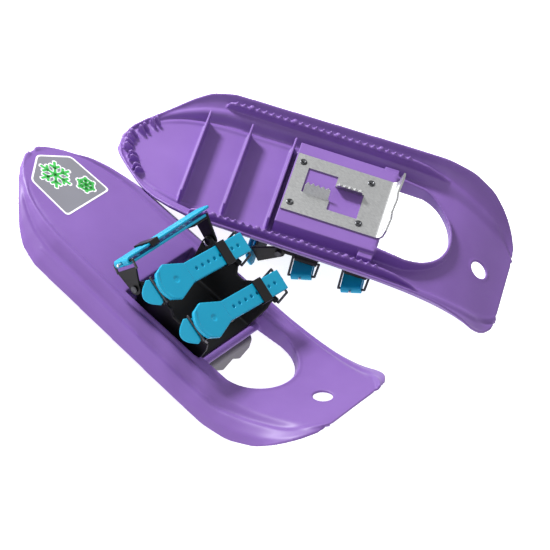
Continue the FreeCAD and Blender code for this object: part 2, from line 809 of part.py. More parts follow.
def make_heel_strap():
    """Inner layer from the wing to the fold round the link."""
    run = heel_slab(-HEEL_Y + 1, HEEL_Y - 4, HEEL_STRAP_W, HEEL_IN - STRAP_T, HEEL_IN)
    pivot, back, up = heel_frame()
    axis_point = pivot + back * HEEL_BACK + V(0, -HEEL_Y + 1, 0) - up * (HEEL_STRAP_W / 2.0)
    tube = Part.makeCylinder(HEEL_FOLD_R + STRAP_T, HEEL_STRAP_W, axis_point, up)
    tube = tube.cut(Part.makeCylinder(HEEL_FOLD_R, HEEL_STRAP_W, axis_point, up))
    keep = heel_slab(-HEEL_Y - 6, -HEEL_Y + 1, HEEL_STRAP_W + 2, HEEL_IN - STRAP_T - 1, HEEL_IN + 0.3)
    start = heel_prong_start()
    hole = rod(start, start - V(0, 2 * PRONG_L, 0), PRONG_R + HOLE_CLEARANCE)
    return fused([run, tube.common(keep)]).cut(hole)


def make_heel_tail():
    """Outer layer from the fold to the free end at the far side."""
    tail = heel_slab(-HEEL_Y + 3, HEEL_Y + 10, HEEL_STRAP_W, HEEL_OUT, HEEL_OUT + STRAP_T)
    pivot, back, up = heel_frame()
    for i in range(6):
        centre = pivot + V(0, -HEEL_Y + 54 + i * STRAP_HOLE_PITCH, 0)
        tail = tail.cut(rod(centre + back * (HEEL_OUT - 3), centre + back * (HEEL_OUT + 6),
                            STRAP_HOLE_R))
    return tail


def make_heel_keeper():
    """Clip round the outer layer, open towards the heel."""
    y0 = HEEL_KEEPER_Y - KEEPER_LENGTH / 2.0
    y1 = HEEL_KEEPER_Y + KEEPER_LENGTH / 2.0
    width = HEEL_STRAP_W
    outside = heel_slab(y0, y1, width + 2 * (KEEPER_GAP + KEEPER_T),
                        HEEL_OUT - KEEPER_GAP - KEEPER_T + 0.3,
                        HEEL_OUT + STRAP_T + KEEPER_GAP + KEEPER_T)
    inside = heel_slab(y0 - 1, y1 + 1, width + 2 * KEEPER_GAP, HEEL_OUT - KEEPER_GAP,
                       HEEL_OUT + STRAP_T + KEEPER_GAP)
    slot = heel_slab(y0 - 1, y1 + 1, width - 2 * KEEPER_LIP, HEEL_OUT - 6, HEEL_OUT)
    return outside.cut(inside).cut(slot)


def make_heel_link():
    """Arm from the near pivot pin, with a wire bow at its end for the strap fold."""
    pivot, back, up = heel_frame()
    y = -HEEL_Y + 1
    half = up * (HEEL_STRAP_W / 2.0 + 3.4)
    root = pivot + V(0, y - LINK_T / 2.0, 0)
    end = root + back * LINK_REACH
    arm = prism([root - up * 6, end - half, end + half, root + up * 6], V(0, LINK_T, 0))
    bar = pivot + back * HEEL_BACK + V(0, y, 0)
    knee = pivot + back * (LINK_REACH - 2) + V(0, y, 0)
    pieces = [arm, rod(root, root + V(0, LINK_T, 0), 6.5)]
    for corner in (bar - half, bar + half):
        pieces.append(Part.makeSphere(WIRE_R, corner))
    for start, stop in ((bar - half, bar + half), (knee - half, bar - half), (knee + half, bar + half)):
        pieces.append(rod(start, stop, WIRE_R))
    return joined(pieces).cut(pivot_bores())


def make_heel_wing():
    """Rubber arm from the far pivot pin back to the strap's inner layer."""
    pivot, back, up = heel_frame()
    y = HEEL_Y - 3.5
    eye = rod(pivot + V(0, y, 0), pivot + V(0, y + 3, 0), 7.0)
    root = pivot + V(0, y, 0)
    points = [
        root - up * 7,
        root + back * HEEL_IN - up * 10,
        root + back * HEEL_IN + up * 10,
        root + up * 7,
    ]
    arm = prism(points, V(0, 3, 0))
    flap = heel_slab(HEEL_Y - 26, HEEL_Y - 0.5, 18.0, HEEL_IN - 2 * STRAP_T - 0.1,
                     HEEL_IN - STRAP_T - 0.05)
    return fused([eye, arm, flap]).cut(pivot_bores())


def make_heel_prong():
    """Steel pin through the fold of the heel strap."""
    start = heel_prong_start()
    pin = rod(start, start + V(0, -PRONG_L + WIRE_R, 0), PRONG_R)
    return fused([pin, Part.makeSphere(PRONG_R * 1.6, start + V(0, -PRONG_L + WIRE_R, 0))])


def make_pivot_pins():
    """Two headed pins that carry the heel link and the heel wing."""
    pins = []
    for side in (-1, 1):
        inner = V(PIVOT_X, side * (EAR_Y0 - PIN_HEAD_H), PIVOT_Z)
        outer = V(PIVOT_X, side * (HEEL_Y + 1.2), PIVOT_Z)
        head = V(0, side * PIN_HEAD_H, 0)
        pins.append(fused([
            rod(inner, outer, PIVOT_R),
            rod(inner, inner + head, PIN_HEAD_R),
            rod(outer, outer + head, PIN_HEAD_R),
        ]))
    return grouped(pins)


# --- one shoe and the pair ----------------------------------------------------------------------

def make_shoe():
    """All nodes of one shoe in its own frame."""
    nodes = {
        "deck": make_deck(),
        "tail_label": make_label(),
        "crampon_plate": make_crampon_plate(),
        "mounting_rivets": make_rivets(),
        "rivet_washers": make_washers(),
        "binding_base": make_binding_base(),
        "heel_pivot_pins": make_pivot_pins(),
    }
    for name in CROSS_STRAPS:
        nodes[name + "_strap"] = make_cross_strap(name)
        nodes[name + "_strap_tail"] = make_cross_tail(name)
        nodes[name + "_keeper"] = make_cross_keeper(name)
        nodes[name + "_ring"] = make_wire_ring(name, -1)
        nodes[name + "_buckle"] = make_wire_ring(name, 1)
        nodes[name + "_prong"] = make_cross_prong(name)
    nodes["heel_strap"] = make_heel_strap()
    nodes["heel_strap_tail"] = make_heel_tail()
    nodes["heel_keeper"] = make_heel_keeper()
    nodes["heel_link"] = make_heel_link()
    nodes["heel_wing"] = make_heel_wing()
    nodes["heel_prong"] = make_heel_prong()
    return nodes


def shoe_placements():
    """Placement of each shoe about its own middle, before both are set on the ground."""
    middle = V(LENGTH / 2.0, 0, 0)
    to_middle = FreeCAD.Placement(middle * -1, FreeCAD.Rotation())
    lean_a = FreeCAD.Rotation(V(0, 1, 0), SHOE_A_PITCH)
    place_a = FreeCAD.Placement(V(0, 0, 0), lean_a).multiply(to_middle)
    flip = FreeCAD.Rotation(V(1, 0, 0), 180.0 + SHOE_B_ROLL)
    turn = FreeCAD.Rotation(V(0, 0, 1), SHOE_B_YAW)
    lean_b = FreeCAD.Rotation(V(0, 1, 0), SHOE_B_PITCH)
    rotation_b = turn.multiply(lean_b).multiply(flip)
    place_b = FreeCAD.Placement(V(SHOE_B_X, SHOE_B_Y, 0), rotation_b).multiply(to_middle)
    return {"a": place_a, "b": place_b}


def true_box(shapes):
    """Tight box round several shapes."""
    return Part.makeCompound(list(shapes)).optimalBoundingBox(False, False)


def placed(shape, placement):
    """Copy of a shape moved by a placement."""
    return shape.transformed(placement.toMatrix(), True)


def make_pair():
    """All nodes of both shoes, standing on the ground, centred on the origin."""
    shoe = make_shoe()
    placements = shoe_placements()
    pair = {}
    for letter, placement in placements.items():
        moved = {n: placed(s, placement) for n, s in shoe.items()}
        drop = true_box(moved.values()).ZMin
        placements[letter] = FreeCAD.Placement(V(0, 0, -drop), FreeCAD.Rotation()).multiply(placement)
        for node, shape in moved.items():
            pair[letter + "_" + node] = placed(shape, FreeCAD.Placement(V(0, 0, -drop),
                                                                         FreeCAD.Rotation()))
    whole = true_box(pair.values())
    centre = FreeCAD.Placement(V(-whole.Center.x, -whole.Center.y, 0), FreeCAD.Rotation())
    for letter in placements:
        placements[letter] = centre.multiply(placements[letter])
    return {n: placed(s, centre) for n, s in pair.items()}, placements


def main():
    """Write one STEP file per node."""
    os.makedirs("parts", exist_ok=True)
    pair, _ = make_pair()
    for node, shape in pair.items():
        shape.exportStep("parts/" + node + ".step")


if __name__ == "__main__":
    main()
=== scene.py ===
"""Looks of a pair of children's moulded snowshoes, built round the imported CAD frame.

Shapes are made in the frame of one shoe, in millimetres: X from the tail tip to the nose, +Y towards
the strap buckles and Z = 0 at the side rims. They are then placed twice, as shoe "a" and shoe "b".
"""
import json
import math

import bpy
import numpy as np
from mathutils import Matrix, Vector


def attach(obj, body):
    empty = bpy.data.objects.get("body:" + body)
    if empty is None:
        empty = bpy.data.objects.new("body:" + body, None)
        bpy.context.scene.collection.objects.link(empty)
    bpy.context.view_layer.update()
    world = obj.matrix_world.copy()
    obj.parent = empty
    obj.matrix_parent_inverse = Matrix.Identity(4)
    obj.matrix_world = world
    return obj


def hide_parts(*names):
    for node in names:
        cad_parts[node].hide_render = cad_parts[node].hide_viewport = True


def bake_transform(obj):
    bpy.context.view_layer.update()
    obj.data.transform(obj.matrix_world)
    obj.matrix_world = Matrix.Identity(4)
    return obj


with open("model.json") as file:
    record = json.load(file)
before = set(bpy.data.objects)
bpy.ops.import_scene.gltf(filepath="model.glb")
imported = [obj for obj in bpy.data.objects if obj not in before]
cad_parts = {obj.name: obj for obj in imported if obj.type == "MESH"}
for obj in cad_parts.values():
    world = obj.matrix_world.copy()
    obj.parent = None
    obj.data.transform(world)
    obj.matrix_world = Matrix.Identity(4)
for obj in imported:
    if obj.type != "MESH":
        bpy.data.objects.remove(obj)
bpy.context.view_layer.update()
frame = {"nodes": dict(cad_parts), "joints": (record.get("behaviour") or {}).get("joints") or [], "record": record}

MM = 0.001

# --- where each shoe is --------------------------------------------------------------------------

MOUNTS = {m["name"]: m for m in frame["record"]["mounts"]}
JOINTS = {j["name"]: j for j in frame["joints"]}
SOLE_POINT = Vector((228.0, 0.0, 12.5)) * MM


def shoe_matrix(letter):
    """Matrix from one shoe's own frame, in metres, to the row frame."""
    sole = MOUNTS[letter + "_sole"]
    z = Vector(sole["axis"]).normalized()
    y = Vector(JOINTS[letter + "_heel_swing"]["axis"]).normalized()
    x = y.cross(z).normalized()
    rotation = Matrix((x, y, z)).transposed()
    origin = Vector(sole["pos_m"]) - rotation @ SOLE_POINT
    return Matrix.Translation(origin) @ rotation.to_4x4()


SHOES = {letter: shoe_matrix(letter) for letter in "ab"}

# --- sizes of the deck and its fittings, in millimetres ------------------------------------------

# x, panel height, half widths of panel, ridge, shoulder and rim, shoulder height, rim height
STATIONS = np.array([
    (0.0, 24.0, 3.0, 4.0, 5.0, 6.0, 22.5, 20.5),
    (3.0, 24.0, 12.0, 15.0, 18.0, 20.0, 21.5, 19.0),
    (16.0, 24.0, 26.0, 30.0, 34.0, 37.0, 21.0, 18.0),
    (38.0, 24.0, 44.0, 50.0, 56.0, 61.0, 20.0, 16.0),
    (56.0, 24.0, 52.0, 58.0, 67.0, 77.0, 17.5, 9.0),
    (74.0, 24.0, 56.0, 64.0, 75.0, 88.0, 15.0, 2.0),
    (98.0, 24.0, 59.0, 68.0, 81.0, 95.0, 14.0, 0.0),
    (200.0, 24.0, 61.0, 71.0, 84.0, 97.0, 14.0, 0.0),
    (300.0, 24.0, 60.0, 72.0, 87.0, 99.0, 15.0, 0.0),
    (338.0, 25.5, 60.0, 73.0, 88.0, 100.0, 18.0, 1.0),
    (368.0, 33.0, 57.0, 68.0, 82.0, 99.0, 28.0, 8.0),
    (394.0, 44.0, 52.0, 62.0, 76.0, 95.0, 40.0, 23.0),
    (410.0, 53.0, 48.0, 58.0, 71.0, 89.0, 50.0, 41.0),
    (420.0, 59.0, 44.0, 54.0, 65.0, 81.0, 58.0, 53.0),
    (428.0, 63.5, 38.0, 47.0, 57.0, 70.0, 64.0, 59.5),
    (432.0, 65.0, 33.0, 41.0, 49.0, 59.0, 66.5, 62.5),
])
SKIN = 2.6
BAY = (181.5, 288.0, 57.0)
BAY_FLOOR = (3.5, 7.0)
OPENING_HALF = 52.0
OPENING_REAR = 288.0
OPENING_STRAIGHT = 322.0
ARC_X, ARC_R = 308.2, 53.8
HOLE_X, HOLE_R = 400.0, 10.0
HOLE_HALF_LENGTH = 8.9  # of the hole seen from above, on the sloping nose
NOSE_NORMAL = (-0.4714, 0.0, 0.8819)
BAR_Z = 7.5
BOSS_X, BOSS_Y = 284.0, 58.0
RIB_X = (79.0, 126.0, 174.0)
RIB_T = 2.6
RAIL_Y, RAIL_T = 82.0, 3.2
TOOTH_START, TOOTH_PITCH, TOOTH_COUNT = 104.0, 8.0, 25
FIN_PAIRS, FIN_T, FIN_SHIFT = 6, 2.5, 2.9
RIVET_X, RIVET_Y = (190.5, 265.5), 30.5
LABEL_OUTLINE = [(7.0, 0.0), (28.0, 33.4), (82.6, 35.6), (82.6, -35.6), (28.0, -33.4)]


# --- small tools ---------------------------------------------------------------------------------

def smooth_line(values, sigma):
    """Gaussian smoothing of evenly spaced values that keeps the slope at both ends."""
    reach = int(3 * sigma) + 1
    kernel = np.exp(-0.5 * (np.arange(-reach, reach + 1) / sigma) ** 2)
    kernel /= kernel.sum()
    head = 2 * values[0] - values[reach:0:-1]
    tail = 2 * values[-1] - values[-2:-reach - 2:-1]
    return np.convolve(np.concatenate([head, values, tail]), kernel, "valid")


class Parts:
    """Closed lumps of geometry collected in one mesh, in millimetres."""

    def __init__(self):
        self.points = []
        self.faces = []

    def add(self, points, faces):
        """Add points with faces that count from the first of them."""
        base = len(self.points)
        self.points += [tuple(map(float, p)) for p in points]
        self.faces += [tuple(base + i for i in f) for f in faces]

    def prism(self, outline, shift):
        """Closed solid from a flat outline moved along a vector."""
        n = len(outline)
        outline = [Vector(p) for p in outline]
        shift = Vector(shift)
        faces = [tuple(reversed(range(n))), tuple(range(n, 2 * n))]
        faces += [(i, (i + 1) % n, n + (i + 1) % n, n + i) for i in range(n)]
        self.add(outline + [p + shift for p in outline], faces)

    def box(self, x0, x1, y0, y1, z0, z1):
        """Box between two corners."""
        self.prism([(x0, y0, z0), (x1, y0, z0), (x1, y1, z0), (x0, y1, z0)], (0, 0, z1 - z0))

    def rod(self, start, end, r0, r1=None, sides=24):
        """Round bar, or cone, between two points."""
        r1 = r0 if r1 is None else r1
        start, end = Vector(start), Vector(end)
        axis = (end - start).normalized()
        side = axis.orthogonal().normalized()
        other = axis.cross(side)
        turns = [2 * math.pi * i / sides for i in range(sides)]
        ring = [side * math.cos(t) + other * math.sin(t) for t in turns]
        points = [start + d * r0 for d in ring] + [end + d * r1 for d in ring]
        faces = [tuple(reversed(range(sides))), tuple(range(sides, 2 * sides))]
        faces += [(i, (i + 1) % sides, sides + (i + 1) % sides, sides + i) for i in range(sides)]
        self.add(points, faces)

    def lathe(self, centre, axis, profile, sides=48):
        """Closed turned solid from (radius, height) pairs along an axis."""
        axis = Vector(axis).normalized()
        side = axis.orthogonal().normalized()
        other = axis.cross(side)
        points = []
        for radius, height in profile:
            for i in range(sides):
                t = 2 * math.pi * i / sides
                d = side * math.cos(t) + other * math.sin(t)
                points.append(Vector(centre) + axis * height + d * max(radius, 0.001))
        rows = len(profile)
        faces = []
        for k in range(rows):
            a, b = k * sides, ((k + 1) % rows) * sides
            faces += [(a + i, a + (i + 1) % sides, b + (i + 1) % sides, b + i) for i in range(sides)]
        self.add(points, faces)

    def chain(self, sections):
        """Closed solid through a row of equal-sized outlines, capped at both ends."""
        n = len(sections[0])
        points = [p for section in sections for p in section]
        faces = [tuple(reversed(range(n)))]
        for k in range(len(sections) - 1):
            a, b = k * n, (k + 1) * n
            faces += [(a + i, a + (i + 1) % n, b + (i + 1) % n, b + i) for i in range(n)]
        last = (len(sections) - 1) * n
        faces.append(tuple(range(last, last + n)))
        self.add(points, faces)

    def ball(self, centre, radius, squash=1.0):
        """Sphere, flattened or stretched in height."""
        profile = []
        for i in range(13):
            t = math.pi * i / 12 - math.pi / 2
            profile.append((radius * math.cos(t), squash * radius * math.sin(t)))
        self.lathe(centre, (0, 0, 1), profile, 32)

    def mesh(self, name):
        """Blender mesh in metres."""
        mesh = bpy.data.meshes.new(name)
        mesh.from_pydata([tuple(c * MM for c in p) for p in self.points], [], self.faces)
        mesh.validate()
        return mesh


def moulded(mesh, voxel, rounds):
    """One closed skin round overlapping lumps, with softened edges. Sizes in millimetres."""
    holder = bpy.data.objects.new("holder", mesh)
    bpy.context.scene.collection.objects.link(holder)
    remesh = holder.modifiers.new("remesh", "REMESH")
    remesh.mode = "VOXEL"
    remesh.voxel_size = voxel * MM
    remesh.use_smooth_shade = True
    soften = holder.modifiers.new("soften", "SMOOTH")
    soften.factor = 0.5
    soften.iterations = rounds
    graph = bpy.context.evaluated_depsgraph_get()
    result = bpy.data.meshes.new_from_object(holder.evaluated_get(graph))
    bpy.data.objects.remove(holder)
    bpy.data.meshes.remove(mesh)
    result.polygons.foreach_set("use_smooth", [True] * len(result.polygons))
    return result


def from_cad(node):
    """Copy of a CAD node of shoe a, in the shoe's own frame."""
    mesh = frame["nodes"]["a_" + node].data.copy()
    mesh.transform(SHOES["a"].inverted())
    mesh.materials.clear()
    return mesh


def place(name, mesh, materials, body, nodes):
    """Put a mesh on both shoes; it rides on the body when that is given by name, otherwise it is fixed where it
    stands, and it replaces CAD nodes.
    """
    for letter, matrix in SHOES.items():
        copy = mesh.copy()
        copy.transform(matrix)
        for material in materials:
            copy.materials.append(material)
        obj = bpy.data.objects.new(letter + "_" + name, copy)
        bpy.context.scene.collection.objects.link(obj)
        if isinstance(body, str):
            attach(obj, letter + "_" + body)
        else:
            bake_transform(obj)
        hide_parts(*[letter + "_" + n for n in nodes])


# --- materials -----------------------------------------------------------------------------------

def srgb(hex_colour):
    """Linear colour from a hex string."""
    values = [int(hex_colour[i:i + 2], 16) / 255.0 for i in (0, 2, 4)]
    linear = [v / 12.92 if v <= 0.04045 else ((v + 0.055) / 1.055) ** 2.4 for v in values]
    return (*linear, 1.0)


def new_material(name):
    """Material with a Principled shader; returns the material, its nodes, links and shader."""
    material = bpy.data.materials.new(name)
    material.use_nodes = True
    tree = material.node_tree
    shader = tree.nodes["Principled BSDF"]
    return material, tree.nodes, tree.links, shader


def noise(nodes, links, scale, detail, stretch=None):
    """Noise texture in object space; scale is per metre."""
    coords = nodes.new("ShaderNodeTexCoord")
    texture = nodes.new("ShaderNodeTexNoise")
    texture.inputs["Scale"].default_value = scale
    texture.inputs["Detail"].default_value = detail
    if stretch:
        mapping = nodes.new("ShaderNodeMapping")
        mapping.inputs["Scale"].default_value = stretch
        links.new(coords.outputs["Object"], mapping.inputs["Vector"])
        links.new(mapping.outputs["Vector"], texture.inputs["Vector"])
    else:
        links.new(coords.outputs["Object"], texture.inputs["Vector"])
    return texture


def ramp_between(nodes, links, source, low, high):
    """Colour ramp driven by a texture."""
    ramp = nodes.new("ShaderNodeValToRGB")
    ramp.color_ramp.elements[0].position = 0.3
    ramp.color_ramp.elements[0].color = low
    ramp.color_ramp.elements[1].position = 0.7
    ramp.color_ramp.elements[1].color = high
    links.new(source, ramp.inputs["Fac"])
    return ramp


def roughness_range(nodes, links, source, low, high):
    """Map a texture to a range of roughness."""
    span = nodes.new("ShaderNodeMapRange")
    span.inputs["To Min"].default_value = low
    span.inputs["To Max"].default_value = high
    links.new(source, span.inputs["Value"])
    return span.outputs["Result"]


def add_bump(nodes, links, shader, source, strength, distance_mm):
    """Bump from a texture."""
    bump = nodes.new("ShaderNodeBump")
    bump.inputs["Strength"].default_value = strength
    bump.inputs["Distance"].default_value = distance_mm * MM
    links.new(source, bump.inputs["Height"])
    links.new(bump.outputs["Normal"], shader.inputs["Normal"])


def plastic(name, dark, light, rough, grain, bump, specular=0.5):
    """Moulded plastic or rubber: faint colour variation, uneven gloss and fine grain."""
    material, nodes, links, shader = new_material(name)
    cloud = noise(nodes, links, 18.0, 2.0)
    ramp = ramp_between(nodes, links, cloud.outputs["Fac"], srgb(dark), srgb(light))
    links.new(ramp.outputs["Color"], shader.inputs["Base Color"])
    uneven = noise(nodes, links, 60.0, 3.0)
    links.new(roughness_range(nodes, links, uneven.outputs["Fac"], rough - 0.05, rough + 0.07),
              shader.inputs["Roughness"])
    fine = noise(nodes, links, grain, 4.0)
    add_bump(nodes, links, shader, fine.outputs["Fac"], bump, 0.12)
    shader.inputs["Specular IOR Level"].default_value = specular
    return material, shader


def metal(name, dark, light, rough, stretch, bump):
    """Brushed or coated steel."""
    material, nodes, links, shader = new_material(name)
    brush = noise(nodes, links, 220.0, 4.0, stretch)
    ramp = ramp_between(nodes, links, brush.outputs["Fac"], srgb(dark), srgb(light))
    links.new(ramp.outputs["Color"], shader.inputs["Base Color"])
    links.new(roughness_range(nodes, links, brush.outputs["Fac"], rough - 0.06, rough + 0.08),
              shader.inputs["Roughness"])
    add_bump(nodes, links, shader, brush.outputs["Fac"], bump, 0.05)
    shader.inputs["Metallic"].default_value = 1.0
    return material


PURPLE, purple_shader = plastic("purple_plastic", "78579F", "7E5DA6", 0.44, 1400.0, 0.10, 0.35)
purple_shader.inputs["Subsurface Weight"].default_value = 0.06
purple_shader.inputs["Subsurface Radius"].default_value = (0.004, 0.002, 0.005)
CYAN, cyan_shader = plastic("cyan_elastomer", "0297BD", "059EC3", 0.38, 900.0, 0.08, 0.4)
cyan_shader.inputs["Subsurface Weight"].default_value = 0.10
cyan_shader.inputs["Subsurface Radius"].default_value = (0.001, 0.003, 0.004)
RUBBER, _ = plastic("black_rubber", "09090A", "0F0F11", 0.45, 1100.0, 0.16, 0.3)
CLIP, _ = plastic("black_clip", "0A0A0B", "111113", 0.40, 1500.0, 0.08, 0.35)
STEEL = metal("plate_steel", "AFB0B1", "C9CACA", 0.42, (0.25, 6.0, 6.0), 0.25)
SHADED_STEEL = metal("shaded_plate_steel", "615E64", "726F75", 0.46, (0.25, 6.0, 6.0), 0.25)
WIRE = metal("wire_steel", "3A3A3D", "57585C", 0.38, (1.0, 1.0, 1.0), 0.12)
RIVET = metal("rivet_steel", "3E3F42", "6A6B6E", 0.32, (1.0, 1.0, 1.0), 0.10)
BRIGHT = metal("pin_steel", "C9CACC", "F0F0F2", 0.22, (1.0, 1.0, 4.0), 0.08)
LABEL_GREY, _ = plastic("label_grey", "77777F", "7E7E87", 0.45, 700.0, 0.05)
LABEL_WHITE, _ = plastic("label_white", "E9E7EE", "F2F0F5", 0.45, 700.0, 0.05)
LABEL_GREEN, _ = plastic("label_green", "39A84A", "41B552", 0.45, 700.0, 0.05)


# --- deck ----------------------------------------------------------------------------------------

FINE_STEP = 0.5
FINE_X = np.arange(0.0, 432.01, FINE_STEP)


def smooth_station_column(column, sigma_mm):
    """One station value at every fine step, with its corners rounded."""
    line = np.interp(FINE_X, STATIONS[:, 0], STATIONS[:, column])
    return smooth_line(line, sigma_mm / FINE_STEP)


TOP_Z = smooth_station_column(1, 7.0)
PANEL_W = smooth_station_column(2, 3.0)
RIDGE_W = smooth_station_column(3, 3.0)
SHOULDER_W = smooth_station_column(4, 3.0)
RIM_W = smooth_station_column(5, 2.5)
SHOULDER_Z = smooth_station_column(6, 6.0)
RIM_Z = smooth_station_column(7, 5.0)
SAMPLES = (26, 4, 5, 4, 5, 4, 7, 7)


def fade(x, start, end):
    """0 before start, 1 after end, smooth between; works backwards too."""
    t = min(1.0, max(0.0, (x - start) / (end - start)))
    return t * t * (3 - 2 * t)


def half_section(x):
    """Points of the outer skin across one half of the shoe, from the middle to the rim."""
    k = int(round(x / FINE_STEP))
    top, panel, ridge = TOP_Z[k], PANEL_W[k], RIDGE_W[k]
    shoulder, rim, shoulder_z, rim_z = SHOULDER_W[k], RIM_W[k], SHOULDER_Z[k], RIM_Z[k]
    ridge_on = fade(x, 12, 60) * fade(x, 330, 292)
    crease_on = fade(x, 5, 50) * fade(x, 432, 400)
    hump = panel + 0.62 * (ridge - panel) + 1.0
    fall = shoulder - ridge
    corners = [
        (0.0, top),
        (panel, top),
        (panel + 0.3 * (ridge - panel), top - 2.6 * ridge_on),
        (hump, top + 1.3 * ridge_on),
        (ridge + 0.12 * fall, top + 0.9 * ridge_on - 0.6 * (1 - ridge_on)),
        (ridge + 0.62 * fall, shoulder_z + 1.0 - 2.6 * crease_on + 3.0 * (1 - crease_on)),
        (shoulder, shoulder_z - 0.2 * crease_on),
        (shoulder + 0.68 * (rim - shoulder), rim_z + 0.52 * (shoulder_z - rim_z)),
        (rim, rim_z),
    ]
    ys, zs = [], []
    for (y0, z0), (y1, z1), count in zip(corners, corners[1:], SAMPLES):
        for i in range(count):
            t = i / count
            ys.append(y0 + t * (y1 - y0))
            zs.append(z0 + t * (z1 - z0))
    ys.append(corners[-1][0])
    zs.append(corners[-1][1])
    ys, zs = np.array(ys), np.array(zs)
    mirrored_y = np.concatenate([-ys[:0:-1], ys])
    mirrored_z = np.concatenate([zs[:0:-1], zs])
    return smooth_line(mirrored_y, 1.1), smooth_line(mirrored_z, 1.3)


SKIN_X = np.concatenate([
    np.arange(0.0, 20.0, 1.0), np.arange(20.0, 396.0, 2.0), np.arange(396.0, 432.1, 1.0),
])
SECTIONS = [half_section(x) for x in SKIN_X]
SKIN_Y = np.array([s[0] for s in SECTIONS])
SKIN_Z = np.array([s[1] for s in SECTIONS])


def surface_z(x, y):
    """Height of the outer skin."""
    i = int(np.clip(np.searchsorted(SKIN_X, x) - 1, 0, len(SKIN_X) - 2))
    t = (x - SKIN_X[i]) / (SKIN_X[i + 1] - SKIN_X[i])
    low = np.interp(y, SKIN_Y[i], SKIN_Z[i])
    high = np.interp(y, SKIN_Y[i + 1], SKIN_Z[i + 1])
    return low + t * (high - low)


def in_opening(x, y, grow):
    """Whether a point is inside the toe opening, grown outwards."""
    if x < OPENING_REAR - 3:
        return False
    if x < OPENING_STRAIGHT:
        return abs(y) < OPENING_HALF + grow
    return (x - ARC_X) ** 2 + y * y < (ARC_R + grow) ** 2


def cut_away(x, y):
    """Where the skin is open: binding bay, toe opening and nose hole."""
    rear, front, half = BAY
    if rear + 1.5 < x < front and abs(y) < half + 1.5:
        return True
    if in_opening(x, y, 1.5):
        return True
    return ((x - HOLE_X) / HOLE_HALF_LENGTH) ** 2 + (y / HOLE_R) ** 2 < 1.3


def deck_skin(parts):
    """Thin curved skin with its openings, as one closed shell."""
    rows, cols = SKIN_Y.shape
    grid = np.stack([np.repeat(SKIN_X[:, None], cols, 1), SKIN_Y, SKIN_Z], -1)
    along = np.gradient(grid, axis=0)
    across = np.gradient(grid, axis=1)
    normal = np.cross(along, across)
    normal /= np.linalg.norm(normal, axis=2, keepdims=True)
    under = grid - normal * SKIN
    points = np.concatenate([grid.reshape(-1, 3), under.reshape(-1, 3)])
    offset = rows * cols
    kept = {}
    for i in range(rows - 1):
        for j in range(cols - 1):
            centre = grid[i:i + 2, j:j + 2].mean((0, 1))
            if not cut_away(centre[0], centre[1]):
                kept[(i, j)] = True
    faces = []
    for i, j in kept:
        a, b = i * cols + j, (i + 1) * cols + j
        faces.append((a, b, b + 1, a + 1))
        faces.append((offset + a, offset + a + 1, offset + b + 1, offset + b))
        for (ni, nj), (p, q) in {
            (i - 1, j): (a + 1, a), (i + 1, j): (b, b + 1),
            (i, j - 1): (a, b), (i, j + 1): (b + 1, a + 1),
        }.items():
            if (ni, nj) not in kept:
                faces.append((q, p, offset + p, offset + q))
    used = sorted({v for f in faces for v in f})
    renumber = {v: n for n, v in enumerate(used)}
    parts.add([points[v] for v in used], [tuple(renumber[v] for v in f) for f in faces])


def opening_outline():
    """Points and outward directions round the toe opening, from one end of the bar to the other."""
    half_turn = math.asin(OPENING_HALF / ARC_R)
    outline = []
    for x in np.linspace(OPENING_REAR - 2, OPENING_STRAIGHT, 12):
        outline.append(((x, OPENING_HALF), (0.0, 1.0)))
    for t in np.linspace(half_turn, -half_turn, 61):
        direction = (math.cos(t), math.sin(t))
        outline.append(((ARC_X + ARC_R * direction[0], ARC_R * direction[1]), direction))
    for x in np.linspace(OPENING_STRAIGHT, OPENING_REAR - 2, 12):
        outline.append(((x, -OPENING_HALF), (0.0, -1.0)))
    return outline


def deck_collar(parts):
    """Rounded wall round the toe opening: deep beside the bar, shallow at the nose."""
    sections = []
    for (x, y), (dx, dy) in opening_outline():
        outer = (x + 3.2 * dx, y + 3.2 * dy)
        low = np.interp(x, [280, 325, 362], [2.0, 9.0, 22.0])
        high = surface_z(outer[0], outer[1]) + 0.3
        low = min(low, high - 4.0)
        sections.append([
            (x, y, low), (x, y, high - 1.2), (x + 1.2 * dx, y + 1.2 * dy, high),
            (outer[0], outer[1], high - 0.1), (outer[0], outer[1], low),
        ])
    parts.chain(sections)


def deck_bay(parts):
    """Floor and walls of the bay under the binding."""
    rear, front, half = BAY
    low, high = BAY_FLOOR
    parts.box(rear + 0.5, front, -half - 1.5, half + 1.5, low, high)
    for side in (-1, 1):
        y0, y1 = sorted((side * half, side * (half + 3.0)))
        parts.box(rear, front + 2, y0, y1, low, 23.2)
        y0, y1 = sorted((side * 55.0, side * 68.0))
        parts.box(274.0, 290.0, y0, y1, 8.0, 15.0)
    parts.box(rear, rear + 3.0, -half - 3, half + 3, low, 23.4)


def deck_bar(parts):
    """Round bar behind the toe opening with a rounded boss at each end."""
    parts.rod((OPENING_REAR, -BOSS_Y, BAR_Z), (OPENING_REAR, BOSS_Y, BAR_Z), 4.0, sides=32)
    for side in (-1, 1):
        y = side * BOSS_Y
        parts.rod((BOSS_X, y, 9), (BOSS_X, y, 15.5), 7.3, 7.0, sides=32)
        parts.ball((BOSS_X, y, 15.5), 7.0)


def deck_ribs(parts):
    """Tall ribs across the underside, with a small foot along each."""
    for x in RIB_X:
        parts.box(x, x + RIB_T, -62, 62, 0.5, 22.6)
        parts.prism([(x - 2.5, -60, 22.4), (x + 1.3, -60, 17.5), (x + 5.1, -60, 22.4)], (0, 120, 0))


